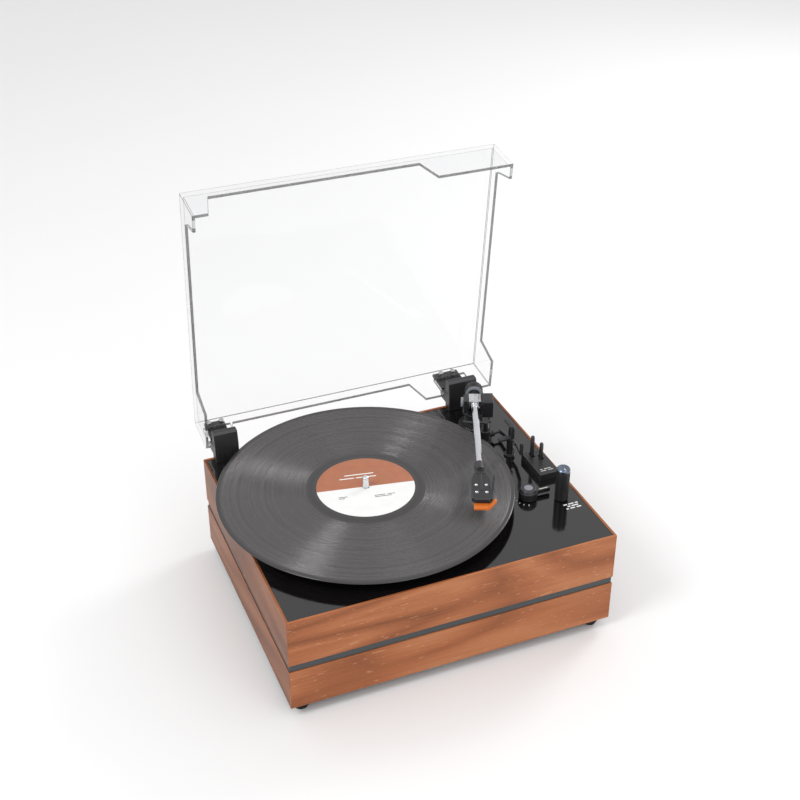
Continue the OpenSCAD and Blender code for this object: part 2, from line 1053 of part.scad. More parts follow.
module cue_lift() {
  bar_w = 3;
  bar_t = 2;
  top = arm_z - tube_r - gap;
  start = 270 - 46;
  sweep = 52;
  color("silver") {
    deck_frame(lift_x, lift_y)
      translate([0, 0, 4])
        cylinder(r = lift_stem_r, h = top - bar_t / 2 - 4, $fn = 48);
    deck_frame(arm_x, arm_y)
      rotate([0, 0, start])
        rotate_extrude(angle = sweep)
          translate([lift_reach - bar_w / 2, top - bar_t])
            square([bar_w, bar_t]);
  }
}

module cue_lever() {
  bend = [0, lever_bend_y - lift_y, 7];
  end = [lever_end[0] - lever_x, lever_end[1] - lift_y, 9];
  tip_h = 13;
  half = 1.3;
  arm_r = 1.6;
  color("black")
    deck_frame(lever_x, lift_y)
      translate([0, 0, lever_z]) {
        rod_x(1.5, lift_x + 5.6 - lever_x, 0, $fn = 32);
        hull() {
          rod_x(2.6, -half, half, $fn = 32);
          translate(bend)
            rod_x(arm_r, -half, half, $fn = 32);
        }
        hull() {
          translate(bend)
            rod_x(arm_r, -half, half, $fn = 32);
          translate(end)
            rod_x(arm_r, -half, half, $fn = 32);
        }
        translate(end)
          span([-half, -arm_r, 0], [half, arm_r, tip_h]);
      }
}

// ---- Controls ------------------------------------------------------------------------------

module volume_knob() {
  low = 0.8;
  color("black")
    deck_frame(volume_x, volume_y) {
      rotate_extrude()
        polygon([
          [0, low + 3.6], [4.2, low + 3.6], [4.2, low], [volume_r, low], [volume_r, volume_h - 1.2],
          [volume_r - 1.2, volume_h], [0, volume_h]
        ]);
      translate([0, 0, -plate_t - 6])
        cylinder(r = stub_shaft_r, h = plate_t + 12, $fn = 48);
    }
}

module pot_body(half, height) {
  tube(3.6, stub_shaft_r + 0.06, -plate_t - 1, 3, $fn = 48);
  difference() {
    translate([0, 0, -plate_t - height / 2])
      cube([2 * half, 2 * half, height], center = true);
    translate([0, 0, -plate_t - height + 2])
      cylinder(r = stub_shaft_r + 0.06, h = height, $fn = 48);
  }
}

module volume_pot() {
  color("silver")
    deck_frame(volume_x, volume_y)
      pot_body(6, 10);
}

module selector_knob() {
  low = 0.8;
  bar_z = 2.5;
  bar_h = 4.5;
  bar_r = 1.8;
  bar_in = 5;
  bar_out = 25;
  color("black")
    deck_frame(selector_x, selector_y) {
      rotate_extrude()
        polygon([
          [0, low + 3.6], [4.2, low + 3.6], [4.2, low], [selector_r, low], [selector_r, selector_h - 3],
          [selector_r - 2, selector_h], [0, selector_h]
        ]);
      span([bar_in, -bar_r, bar_z], [bar_out - bar_r, bar_r, bar_z + bar_h]);
      translate([bar_out - bar_r, 0, bar_z])
        cylinder(r = bar_r, h = bar_h, $fn = 32);
      translate([0, 0, -plate_t - 6])
        cylinder(r = stub_shaft_r, h = plate_t + 12, $fn = 48);
    }
}

module selector_switch() {
  color("silver")
    deck_frame(selector_x, selector_y)
      pot_body(8, 10);
}

module toggle_housing() {
  wall = 2;
  slot_w = 3.8;
  slot_l = 9;
  color("dimgray")
    deck_frame()
      difference() {
        span([switch_x[0], switch_y[0], 0], [switch_x[1], switch_y[1], switch_h]);
        span([switch_x[0] + wall, switch_y[0] + wall, -1],
             [switch_x[1] - wall, switch_y[1] - wall, switch_h - wall]);
        for (place = toggle_places)
          translate([place[0], place[1], switch_h])
            cube([slot_w, slot_l, 3 * wall], center = true);
      }
}

module toggle(place, height) {
  half_x = 1.4;
  color("black")
    deck_frame(place[0], place[1]) {
      profile_x(-half_x, half_x)
        polygon([
          [-1.6, 2], [1.6, 2], [2.2, 8], [1.7, height - 1], [1, height], [-1, height],
          [-1.7, height - 1], [-2.2, 8]
        ]);
      translate([0, 0, toggle_pivot])
        rod_x(2, -2.6, 2.6, $fn = 32);
    }
}

module speed_toggle() { toggle(toggle_places[0], speed_toggle_h); }
module autostop_toggle() { toggle(toggle_places[1], autostop_toggle_h); }

// ---- Nodes ---------------------------------------------------------------------------------

upper_board_front();
upper_board_rear();
upper_board_left();
upper_board_right();
lower_board_front();
lower_board_rear();
lower_board_left();
lower_board_right();
accent_band();
top_plate();
base_panel();
base_screws();
feet();
foot_screws();
motor();
motor_bracket();
motor_grommets();
motor_screws();
motor_pulley();
drive_belt();
bearing_housing();
bearing_bush();
spindle();
platter();
slip_mat();
record();
record_label();
main_board();
rear_panel();
rca_jacks();
power_inlet();
power_rocker();
hinge_base_left();
hinge_base_right();
hinge_pins();
hinge_leaf_left();
hinge_leaf_right();
hinge_screws();
dust_cover();
lid_bumpers();
tonearm_base();
arm_yoke();
arm_shaft();
arm_tube();
headshell();
cartridge();
stylus();
counterweight();
arm_rest();
arm_lock();
cue_housing();
cue_lever();
cue_lift();
volume_knob();
volume_pot();
selector_knob();
selector_switch();
toggle_housing();
speed_toggle();
autostop_toggle();
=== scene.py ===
"""Looks of the turntable record player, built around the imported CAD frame. Units are metres."""

import json
import math

import bmesh
import bpy
from mathutils import Matrix, Vector
from mathutils.bvhtree import BVHTree

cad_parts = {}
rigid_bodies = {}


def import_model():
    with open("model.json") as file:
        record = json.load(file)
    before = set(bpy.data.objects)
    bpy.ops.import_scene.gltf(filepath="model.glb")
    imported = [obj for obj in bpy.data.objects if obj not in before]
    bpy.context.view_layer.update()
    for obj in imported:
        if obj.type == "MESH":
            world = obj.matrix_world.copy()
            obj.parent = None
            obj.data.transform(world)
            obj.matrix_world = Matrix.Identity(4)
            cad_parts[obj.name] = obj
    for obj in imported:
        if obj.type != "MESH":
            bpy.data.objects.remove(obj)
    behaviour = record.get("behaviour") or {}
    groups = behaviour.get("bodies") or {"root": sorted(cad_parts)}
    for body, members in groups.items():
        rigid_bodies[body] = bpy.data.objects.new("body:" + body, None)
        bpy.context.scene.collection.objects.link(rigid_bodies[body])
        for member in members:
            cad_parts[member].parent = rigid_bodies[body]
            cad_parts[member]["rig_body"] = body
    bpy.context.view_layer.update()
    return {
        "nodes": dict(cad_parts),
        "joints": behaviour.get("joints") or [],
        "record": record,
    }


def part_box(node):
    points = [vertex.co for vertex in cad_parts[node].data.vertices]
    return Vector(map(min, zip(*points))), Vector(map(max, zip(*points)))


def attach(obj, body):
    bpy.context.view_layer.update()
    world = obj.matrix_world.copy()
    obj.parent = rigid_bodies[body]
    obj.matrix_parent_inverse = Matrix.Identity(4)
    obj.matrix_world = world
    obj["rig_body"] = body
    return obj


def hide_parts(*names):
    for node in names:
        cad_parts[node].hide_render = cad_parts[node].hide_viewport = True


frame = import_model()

MM = 0.001
WHOLE_TURN = 2 * math.pi

JOINTS = {joint["name"]: joint for joint in frame["joints"]}
SLOTS = {part["node"]: part["material_slot"] for part in frame["record"]["subparts"]}


def middle(node):
    low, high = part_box(node)
    return (low + high) / 2


DECK_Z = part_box("top_plate")[1].z
PLINTH = middle("base_panel")
SPINDLE = middle("spindle")

# ---- Camera, floor and lights ------------------------------------------------------------------

VIEW_AZIMUTH = -22.302
VIEW_ELEVATION = 32.285
VIEW_LENS = 60.6
VIEW_PLACE = Vector((-0.4221, -1.0238, 0.9322))
FLOOR_RADIUS = 9.0
ROOM_LIGHT = 0.84


def direction(azimuth, elevation):
    """The unit vector that points at that compass place, azimuth counted from +X towards +Y."""
    turn, rise = math.radians(azimuth), math.radians(elevation)
    flat = math.cos(rise)
    return Vector((math.cos(turn) * flat, math.sin(turn) * flat, math.sin(rise)))


def make_camera():
    data = bpy.data.cameras.new("camera")
    data.lens, data.sensor_width = VIEW_LENS, 36
    data.clip_start, data.clip_end = 0.05, 50
    camera = bpy.data.objects.new("camera", data)
    bpy.context.scene.collection.objects.link(camera)
    back = direction(VIEW_AZIMUTH - 90, VIEW_ELEVATION)
    camera.location = Vector((PLINTH.x, PLINTH.y, 0)) + VIEW_PLACE
    camera.rotation_mode = "QUATERNION"
    camera.rotation_quaternion = back.to_track_quat("Z", "Y")
    bpy.context.scene.camera = camera


def soft_box(name, azimuth, elevation, distance, size, power):
    data = bpy.data.lights.new(name, "AREA")
    data.shape, data.size, data.size_y = "RECTANGLE", size[0], size[1]
    data.energy = power
    light = bpy.data.objects.new(name, data)
    bpy.context.scene.collection.objects.link(light)
    away = direction(azimuth, elevation)
    light.location = SPINDLE + away * distance
    light.rotation_mode = "QUATERNION"
    light.rotation_quaternion = away.to_track_quat("Z", "Y")


def make_room():
    world = bpy.data.worlds.new("room")
    world.use_nodes = True
    bpy.context.scene.world = world
    nodes, links = world.node_tree.nodes, world.node_tree.links
    where = nodes.new("ShaderNodeTexCoord")
    split = nodes.new("ShaderNodeSeparateXYZ")
    ramp = nodes.new("ShaderNodeValToRGB")
    ramp.color_ramp.elements[0].color = (0.80, 0.80, 0.81, 1)
    ramp.color_ramp.elements[1].color = (1, 1, 1, 1)
    ramp.color_ramp.elements[1].position = 0.7
    links.new(where.outputs["Generated"], split.inputs[0])
    links.new(split.outputs["Z"], ramp.inputs[0])
    links.new(ramp.outputs[0], nodes["Background"].inputs["Color"])
    nodes["Background"].inputs["Strength"].default_value = ROOM_LIGHT
    bpy.context.scene.view_settings.view_transform = "Standard"
    soft_box("left_soft_box", 196, 47, 2.2, (0.7, 0.7), 15)
    soft_box("right_soft_box", 23, 30, 2.2, (0.6, 0.6), 12)
    soft_box("front_soft_box", 285, 40, 2.6, (1.4, 1.4), 9)


# ---- Materials ---------------------------------------------------------------------------------

LEAD_OUT_R = 60 * MM
LEAD_IN_R = 147.5 * MM
GROOVE_PITCH = 0.32 * MM
GROOVE_SLOPE = 1.0
LAND_ROUGHNESS = 0.2


def linear(red, green, blue):
    """A colour given as it shows on a screen, 0 to 255, in the renderer's own linear scale."""
    return [
        c / 12.92 if c <= 0.04045 else ((c + 0.055) / 1.055) ** 2.4
        for c in (red / 255, green / 255, blue / 255)
    ]


def shade(colour, factor):
    return [min(1.0, c * factor) for c in colour]


class Look:
    """A material with one Principled shader, and short ways to wire nodes to it."""

    def __init__(self, name, **sockets):
        self.material = bpy.data.materials.new(name)
        self.material.use_nodes = True
        self.nodes = self.material.node_tree.nodes
        self.links = self.material.node_tree.links
        self.shader = self.nodes["Principled BSDF"]
        self.where = self.nodes.new("ShaderNodeTexCoord").outputs["Object"]
        for socket, value in sockets.items():
            self.set(socket.replace("_", " "), value)

    def set(self, socket, value):
        """Gives the shader's socket a number, a colour, or a link from another node."""
        target = self.shader.inputs[socket]
        if isinstance(value, bpy.types.NodeSocket):
            self.links.new(value, target)
        elif hasattr(value, "__len__") and len(value) == 3 and target.type == "RGBA":
            target.default_value = (*value, 1)
        else:
            target.default_value = value

    def node(self, kind, inputs, output=0, **settings):
        made = self.nodes.new("ShaderNode" + kind)
        for key, value in settings.items():
            setattr(made, key, value)
        for key, value in inputs.items():
            if isinstance(value, bpy.types.NodeSocket):
                self.links.new(value, made.inputs[key])
            else:
                made.inputs[key].default_value = value
        return made.outputs[output]

    def stretched(self, scale, offset=(0, 0, 0)):
        """The piece's own coordinates, in metres, times scale along each axis."""
        return self.node("Mapping", {"Vector": self.where, "Scale": scale, "Location": offset})

    def noise(self, where, scale=1.0, detail=3.0, roughness=0.5, distortion=0.0):
        values = {"Scale": scale, "Detail": detail, "Roughness": roughness, "Distortion": distortion}
        return self.node("TexNoise", {"Vector": where, **values})

    def math(self, operation, *values):
        return self.node("Math", dict(enumerate(values)), operation=operation)

    def between(self, value, low, high, to_low, to_high):
        """value from low..high, moved to to_low..to_high and held there."""
        spans = {"From Min": low, "From Max": high, "To Min": to_low, "To Max": to_high}
        return self.node("MapRange", {"Value": value, **spans})

    def blend(self, factor, first, second, kind="MIX"):
        made = self.nodes.new("ShaderNodeMix")
        made.data_type, made.blend_type = "RGBA", kind
        for socket, value in zip((made.inputs[0], made.inputs[6], made.inputs[7]), (factor, first, second)):
            if isinstance(value, bpy.types.NodeSocket):
                self.links.new(value, socket)
            else:
                socket.default_value = (*value, 1) if hasattr(value, "__len__") else value
        return made.outputs[2]

    def relief(self, height, distance, strength=1.0, below=None):
        values = {"Height": height, "Distance": distance, "Strength": strength}
        if below is not None:
            values["Normal"] = below
        return self.node("Bump", values)


def plastic(name, colour, roughness, grain=0.35 * MM, depth=0.03 * MM, vary=0.12, **sockets):
    """Moulded plastic, rubber or paint: a fine texture, and tone and gloss that drift a little."""
    look = Look(name, **sockets)
    broad = look.noise(look.stretched((28, 28, 28)), detail=4)
    fine = look.noise(look.where, scale=1 / grain, detail=2)
    tone = look.math("ADD", look.math("MULTIPLY", broad, 0.7), look.math("MULTIPLY", fine, 0.3))
    look.set("Base Color", look.blend(tone, shade(colour, 1 - vary), shade(colour, 1 + vary)))
    look.set("Roughness", look.between(tone, 0.3, 0.7, roughness * 0.88, roughness * 1.15))
    look.set("Normal", look.relief(fine, depth))
    return look.material


def metal(name, colour, roughness, along=(1, 1, 1), scratch=0.25 * MM, depth=0.004 * MM, **sockets):
    """Metal with fine lines along the axes whose share in along is small."""
    look = Look(name, Metallic=1.0, **sockets)
    lines = look.noise(look.stretched([a / scratch for a in along]), detail=3)
    clouds = look.noise(look.stretched((40, 40, 40)), detail=3)
    look.set("Base Color", look.blend(clouds, shade(colour, 0.9), shade(colour, 1.06)))
    look.set("Roughness", look.between(lines, 0.25, 0.75, roughness * 0.75, roughness * 1.3))
    look.set("Normal", look.relief(lines, depth))
    return look.material


def wood(name, grain, seed, light=1.0):
    """Oiled walnut veneer with its grain along X or Y: cathedral figure, fibres and dark pores. Every tone
    is scaled by light; a light below 1 is painted shade.
    """
    look = Look(name, Specular_IOR_Level=0.35)

    def along(lengthwise, across):
        scale = {"x": (lengthwise, across, across), "y": (across, lengthwise, across)}[grain]
        return look.stretched(scale, (seed, seed * 1.7, seed * 0.6))

    hill = look.noise(along(1.9, 13), detail=1.5, distortion=0.35)
    rings = look.math("PINGPONG", look.math("MULTIPLY", hill, 13), 1.0)
    drift = look.noise(along(3.4, 22), detail=3)
    fibre = look.noise(along(22, 1100), detail=3, roughness=0.6)
    pores = look.noise(along(150, 1500), detail=2)
    tone = look.math(
        "ADD", look.math("MULTIPLY", rings, 0.34),
        look.math("ADD", look.math("MULTIPLY", drift, 0.72), look.math("MULTIPLY", fibre, 0.42)),
    )
    ramp = look.nodes.new("ShaderNodeValToRGB")
    look.links.new(tone, ramp.inputs[0])
    tones = ((0.42, (112, 62, 34)), (0.62, (150, 86, 48)), (0.78, (168, 99, 58)), (0.98, (186, 119, 76)))
    elements = ramp.color_ramp.elements
    while len(elements) < len(tones):
        elements.new(0.5)
    for element, (position, colour) in zip(elements, tones):
        element.position = position
        element.color = (*shade(linear(*colour), light), 1)
    specks = look.between(pores, 0.60, 0.68, 0, 0.55)
    streak = look.between(drift, 0.40, 0.56, 1, 0.15)
    in_streaks = look.math("MULTIPLY", specks, streak)
    figured = look.blend(in_streaks, ramp.outputs[0], shade(linear(78, 40, 22), light))
    flecks = look.between(look.noise(along(95, 420), detail=1), 0.69, 0.73, 0, 0.5)
    look.set("Base Color", look.blend(flecks, figured, shade(linear(206, 152, 112), light)))
    look.set("Roughness", look.between(fibre, 0.3, 0.7, 0.34, 0.5))
    pits = look.math("SUBTRACT", look.math("MULTIPLY", fibre, 0.5), specks)
    look.set("Normal", look.relief(pits, 0.05 * MM))
    return look.material


def gloss_deck():
    """Black lacquer with a soft orange-peel, faint wiping marks and a little dust."""
    look = Look("deck_lacquer", Specular_IOR_Level=0.5, Coat_Weight=0.5, Coat_Roughness=0.04)
    peel = look.noise(look.stretched((160, 160, 160)), detail=1)
    wipes = look.noise(look.stretched((30, 220, 60), (0.3, 0, 0)), detail=5, distortion=0.8)
    dust = look.noise(look.where, scale=1600, detail=1)
    specks = look.between(dust, 0.72, 0.78, 0, 1)
    look.set("Base Color", look.blend(specks, linear(17, 15, 16), linear(62, 62, 64)))
    look.set("Roughness", look.between(wipes, 0.3, 0.75, 0.07, 0.17))
    look.set("Normal", look.relief(peel, 0.012 * MM))
    return look.material


def vinyl():
    """Pressed vinyl: groove walls that lean in and out, so each light shows as a pair of wedges. The grooved
    band's colour is painted lighter than the lands: a painted sheen.
    """
    look = Look(
        "vinyl", Metallic=0.42, Specular_IOR_Level=0.6, Coat_Weight=0.12, Coat_Roughness=0.07,
    )
    parts = look.node("SeparateXYZ", {0: look.where}).node.outputs
    squares = [look.math("MULTIPLY", part, part) for part in (parts[0], parts[1])]
    radius = look.math("SQRT", look.math("ADD", *squares))
    rings = look.math("SINE", look.math("MULTIPLY", radius, WHOLE_TURN / GROOVE_PITCH))
    bands = look.node("TexNoise", {"W": radius, "Scale": 260, "Detail": 3}, noise_dimensions="1D")
    dust = look.noise(look.where, scale=900, detail=1)
    grooved = look.math(
        "MULTIPLY", look.between(radius, LEAD_OUT_R, LEAD_OUT_R + 2 * MM, 0, 1),
        look.between(radius, LEAD_IN_R - 2 * MM, LEAD_IN_R, 1, 0),
    )
    smooth = look.blend(bands, linear(58, 56, 57), linear(70, 68, 69))
    # The grooved band is painted a lighter grey than the smooth lands: a painted sheen of the grooves.
    cut = look.blend(bands, linear(78, 76, 77), linear(100, 97, 98))
    look.set("Base Color", look.blend(grooved, smooth, cut))
    gloss = look.between(bands, 0.3, 0.7, 0.2, 0.3)
    rougher = look.math("MULTIPLY", grooved, look.math("SUBTRACT", gloss, LAND_ROUGHNESS))
    look.set("Roughness", look.math("ADD", LAND_ROUGHNESS, rougher))
    flat = look.node("CombineXYZ", {0: parts[0], 1: parts[1]})
    outward = look.node("VectorMath", {0: flat}, operation="NORMALIZE")
    outward = look.node(
        "VectorTransform", {0: outward}, vector_type="VECTOR", convert_from="OBJECT", convert_to="WORLD",
    )
    lean = look.math("MULTIPLY", look.math("MULTIPLY", rings, GROOVE_SLOPE), grooved)
    leaning = look.node("VectorMath", {0: outward, "Scale": lean}, operation="SCALE")
    pressed = look.relief(look.between(dust, 0.7, 0.8, 0, 1), 0.004 * MM, 0.5)
    walls = look.node("VectorMath", {0: pressed, 1: leaning}, operation="ADD")
    look.set("Normal", look.node("VectorMath", {0: walls}, operation="NORMALIZE"))
    return look.material


def label_paper():
    """Printed paper: a terracotta half behind and a white half in front."""
    look = Look("label_paper", Specular_IOR_Level=0.4)
    parts = look.node("SeparateXYZ", {0: look.where}).node.outputs
    fibres = look.noise(look.where, scale=2200, detail=3)
    clouds = look.noise(look.where, scale=90, detail=3)
    behind = look.between(parts[1], -0.05 * MM, 0.05 * MM, 0, 1)
    brown = look.blend(clouds, linear(160, 98, 70), linear(178, 114, 84))
    white = look.blend(clouds, linear(226, 226, 225), linear(240, 240, 239))
    look.set("Base Color", look.blend(behind, white, brown))
    look.set("Roughness", look.between(fibres, 0.3, 0.7, 0.38, 0.5))
    look.set("Normal", look.relief(fibres, 0.012 * MM))
    return look.material


def clear_acrylic():
    """Thin clear sheet: it lets nearly all light through, and its outer sides mirror more at a slant."""
    look = Look("clear_acrylic")
    haze = look.noise(look.stretched((35, 35, 35)), detail=4)
    hairs = look.noise(look.stretched((60, 900, 900)), detail=2)
    mirror = look.nodes.new("ShaderNodeBsdfGlossy")
    look.links.new(look.between(hairs, 0.35, 0.75, 0.02, 0.09), mirror.inputs["Roughness"])
    through = look.nodes.new("ShaderNodeBsdfTransparent")
    tint = look.blend(haze, (0.982, 0.983, 0.985), (0.99, 0.991, 0.992))
    look.links.new(tint, through.inputs["Color"])
    fresnel = look.node("Fresnel", {"IOR": 1.36})
    front = look.math("SUBTRACT", 1.0, look.node("NewGeometry", {}, "Backfacing"))
    mix = look.nodes.new("ShaderNodeMixShader")
    look.links.new(look.math("MULTIPLY", fresnel, front), mix.inputs[0])
    look.links.new(through.outputs[0], mix.inputs[1])
    look.links.new(mirror.outputs[0], mix.inputs[2])
    look.links.new(mix.outputs[0], look.nodes["Material Output"].inputs["Surface"])
    look.nodes.remove(look.shader)
    return look.material


def acrylic_edge_painted_reflection():
    """The polished edge of the sheet, painted a translucent grey: a painted reflection standing for the dark
    look that internal reflection gives the edge.
    """
    look = Look("acrylic_edge_painted_reflection", Specular_IOR_Level=0.6, Alpha=0.82)
    saw = look.noise(look.stretched((500, 500, 40)), detail=3)
    # The grey base colour is a painted reflection; the saw marks only vary it.
    look.set("Base Color", look.blend(saw, linear(66, 64, 65), linear(112, 110, 112)))
    look.set("Roughness", look.between(saw, 0.3, 0.7, 0.12, 0.3))
    look.set("Normal", look.relief(saw, 0.01 * MM))
    return look.material


def circuit_board():
    look = Look("circuit_board", Specular_IOR_Level=0.5)
    cells = look.node("TexVoronoi", {"Vector": look.where, "Scale": 190.0}, distance="CHEBYCHEV")
    tracks = look.between(cells, 0.36, 0.4, 0, 1)
    look.set("Base Color", look.blend(tracks, linear(18, 74, 38), linear(34, 110, 60)))
    look.set("Roughness", look.between(tracks, 0, 1, 0.5, 0.32))
    look.set("Normal", look.relief(tracks, 0.03 * MM))
    return look.material


def pale_floor():
    look = Look("pale_floor", Roughness=0.6, Specular_IOR_Level=0.2)
    clouds = look.noise(look.where, scale=3, detail=4)
    look.set("Base Color", look.blend(clouds, (0.86, 0.86, 0.862), (0.88, 0.88, 0.88)))
    return look.material


LOOKS = {
    "wood_x": wood("walnut_along_x", "x", 0.37),
    # The side boards' walnut is painted darker (light 0.6): painted shade, as if the sides stood in shadow.
    "wood_y_painted_shade": wood("walnut_along_y_painted_shade", "y", 2.15, 0.6),
    "wood_edge": wood("walnut_edge", "x", 4.4, 1.12),
    "band": plastic("band_lacquer", linear(62, 66, 68), 0.42, vary=0.1),
    "deck": gloss_deck(),
    "panel": plastic("panel_plastic", linear(44, 44, 46), 0.55, grain=0.5 * MM, depth=0.05 * MM),
    "rubber": plastic("black_rubber", linear(26, 26, 27), 0.75, grain=0.25 * MM, depth=0.05 * MM),
    "steel": metal("zinc_steel", linear(196, 196, 198), 0.3, (1, 1, 0.2)),
    "brass": metal("turned_brass", linear(214, 176, 104), 0.28, (0.2, 0.2, 1)),
    "gold_plate": metal("gold_plate", linear(232, 196, 120), 0.16, (1, 0.2, 1)),
    "castings": metal("cast_alloy", linear(160, 161, 165), 0.45, scratch=0.8 * MM, depth=0.04 * MM),
    "platter_metal": metal("platter_alloy", linear(86, 86, 88), 0.35, (0.4, 0.4, 1)),
    "chrome": metal(
        "bright_chrome", linear(226, 227, 230), 0.12, scratch=0.5 * MM, depth=0.001 * MM,
    ),
    "mat": plastic("mat_rubber", linear(30, 30, 31), 0.8, grain=0.4 * MM, depth=0.08 * MM),
    "vinyl": vinyl(),
    "label": label_paper(),
    "circuit": circuit_board(),
    "hinge_plastic": plastic("hinge_plastic", linear(38, 37, 38), 0.4, grain=0.4 * MM, depth=0.04 * MM),
    "clear": clear_acrylic(),
    "clear_edge_painted_reflection": acrylic_edge_painted_reflection(),
    "clear_rubber": plastic("clear_rubber", linear(206, 208, 208), 0.5),
    "black_plastic": plastic("black_plastic", linear(33, 33, 35), 0.34),
    # A lighter grey for black parts: on rounded edges and toggle ribs it is a painted highlight; trim rings
    # and headshell bands use it too.
    "black_edge_highlight": plastic("black_plastic_edge_highlight", linear(72, 72, 75), 0.3),
    "red_ink": plastic("red_ink", linear(150, 44, 38), 0.5),
    "grey_plastic": plastic("grey_plastic", linear(128, 132, 138), 0.4),
    "knob_cap": metal("knob_cap", linear(112, 122, 138), 0.3, scratch=0.4 * MM),
    "stylus_plastic": plastic("orange_plastic", linear(232, 116, 42), 0.22, Subsurface_Weight=0.2),
    "ink": plastic("white_ink", linear(228, 228, 226), 0.5),
    "dark_ink": plastic("dark_ink", linear(70, 66, 64), 0.5),
}

# ---- Building pieces ---------------------------------------------------------------------------

WELD = 0.002 * MM
SAME_SPOT = 0.0005  # mm, in a shape that is still drawn in mm
FLAT_ANGLE = math.radians(0.6)
EDGE_ANGLE = math.radians(32)


def add_piece(name, mesh, body, slot, *materials, place=Matrix()):
    """A new piece in the row frame that rides on a body and takes the materials it is given; slot is not
    used.
    """
    piece = bpy.data.objects.new(name, mesh)
    bpy.context.scene.collection.objects.link(piece)
    piece.matrix_world = place
    for material in materials:
        mesh.materials.append(material)
    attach(piece, body)
    return piece


def mesh_from(shape, name):
    mesh = bpy.data.meshes.new(name)
    bmesh.ops.recalc_face_normals(shape, faces=shape.faces)
    shape.to_mesh(mesh)
    shape.free()
    mesh.shade_smooth()
    return mesh


def round_edges(piece, width, segments=2, material=-1):
    """Rounds a piece's sharp edges, and keeps its flat faces looking flat."""
    bevel = piece.modifiers.new("edges", "BEVEL")
    bevel.width, bevel.segments, bevel.material = width, segments, material
    bevel.limit_method, bevel.angle_limit = "ANGLE", EDGE_ANGLE
    bevel.use_clamp_overlap = False
    weigh = piece.modifiers.new("normals", "WEIGHTED_NORMAL")
    weigh.keep_sharp = True
    return piece


def clean_shape(node):
    """A CAD node's mesh with its seams welded and its flat triangles joined."""
    shape = bmesh.new()
    shape.from_mesh(frame["nodes"][node].data)
    bmesh.ops.remove_doubles(shape, verts=shape.verts, dist=WELD)
    bmesh.ops.dissolve_limit(shape, angle_limit=FLAT_ANGLE, verts=shape.verts, edges=shape.edges)
    return shape


def finished(node, width, *materials, segments=2, edge=-1, name=None):
    """A copy of a CAD node with rounded edges, which stands for the node."""
    slot = SLOTS[node]
    piece = add_piece(
        name or node + "_finished", mesh_from(clean_shape(node), node), frame["nodes"][node]["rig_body"],
        slot, *(materials or [LOOKS[slot]]),
    )
    round_edges(piece, width, segments, edge)
    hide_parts(node)
    return piece


def turned(points, segments=96, teeth=0, depth=0.0):
    """A shape in mm turned about Z from (radius, height) points; teeth cut where a third value is True."""
    shape = bmesh.new()
    steps = 4 * teeth or segments
    rings = []
    for radius, height, *cut in points:
        if radius == 0:
            rings.append([shape.verts.new((0, 0, height))])
            continue
        ring = []
        for step in range(steps):
            angle = WHOLE_TURN * step / steps
            reach = radius - (depth if cut and step % 4 > 1 else 0)
            ring.append(shape.verts.new((math.cos(angle) * reach, math.sin(angle) * reach, height)))
        rings.append(ring)
    for low, high in zip(rings, rings[1:]):
        for step in range(steps):
            after = (step + 1) % steps
            below = [low[step % len(low)], low[after % len(low)]]
            above = [high[after % len(high)], high[step % len(high)]]
            loop = list(dict.fromkeys(below + above))
            if len(loop) > 2:
                shape.faces.new(loop)
    bmesh.ops.remove_doubles(shape, verts=shape.verts, dist=SAME_SPOT)
    return shape


def add_slab(shape, low, high, place=Matrix()):
    """Adds a box given by two corners in mm, then moved by place."""
    low, high = Vector(low), Vector(high)
    made = bmesh.ops.create_cube(shape, size=1)["verts"]
    size = Matrix.Diagonal((*(high - low), 1))
    bmesh.ops.transform(shape, matrix=place @ Matrix.Translation((low + high) / 2) @ size, verts=made)


def slabs(*pairs):
    shape = bmesh.new()
    for low, high in pairs:
        add_slab(shape, low, high)
    return shape


def add_copy(shape, other, place=Matrix()):
    """Adds a copy of another shape, moved by place."""
    mesh = bpy.data.meshes.new("copy")
    other.to_mesh(mesh)
    mesh.transform(place)
    shape.from_mesh(mesh)
    bpy.data.meshes.remove(mesh)


def repeated(other, places):
    shape = bmesh.new()
    for place in places:
        add_copy(shape, other, place)
    other.free()
    return shape


def put(name, shape, place, body, slot, *materials, bevel=0.0, segments=2, edge=-1):
    """Puts a shape drawn in mm at a place in the row frame, as a piece that rides on a body."""
    shape.transform(Matrix.Scale(MM, 4))
    mesh = mesh_from(shape, name)
    if not bevel:
        mesh.set_sharp_from_angle(angle=EDGE_ANGLE)
    piece = add_piece(name, mesh, body, slot, *(materials or [LOOKS[slot]]), place=place)
    if bevel:
        round_edges(piece, bevel, segments, edge)
    return piece


def carve(piece, shape, place=Matrix()):
    """Cuts a shape, drawn in metres, out of a piece, and keeps no cutter."""
    cutter = bpy.data.objects.new("cutter", mesh_from(shape, "cutter"))
    cutter.matrix_world = place
    bpy.context.scene.collection.objects.link(cutter)
    cut = piece.modifiers.new("cut", "BOOLEAN")
    cut.object, cut.solver = cutter, "EXACT"
    while piece.modifiers[0] != cut:
        piece.modifiers.move(len(piece.modifiers) - 1, 0)
    for modifier in piece.modifiers:
        modifier.show_viewport = modifier == cut
    bpy.context.view_layer.update()
    result = bpy.data.meshes.new_from_object(piece.evaluated_get(bpy.context.evaluated_depsgraph_get()))
    for modifier in piece.modifiers:
        modifier.show_viewport = True
    piece.modifiers.remove(cut)
    piece.data = result
    bpy.data.objects.remove(cutter)


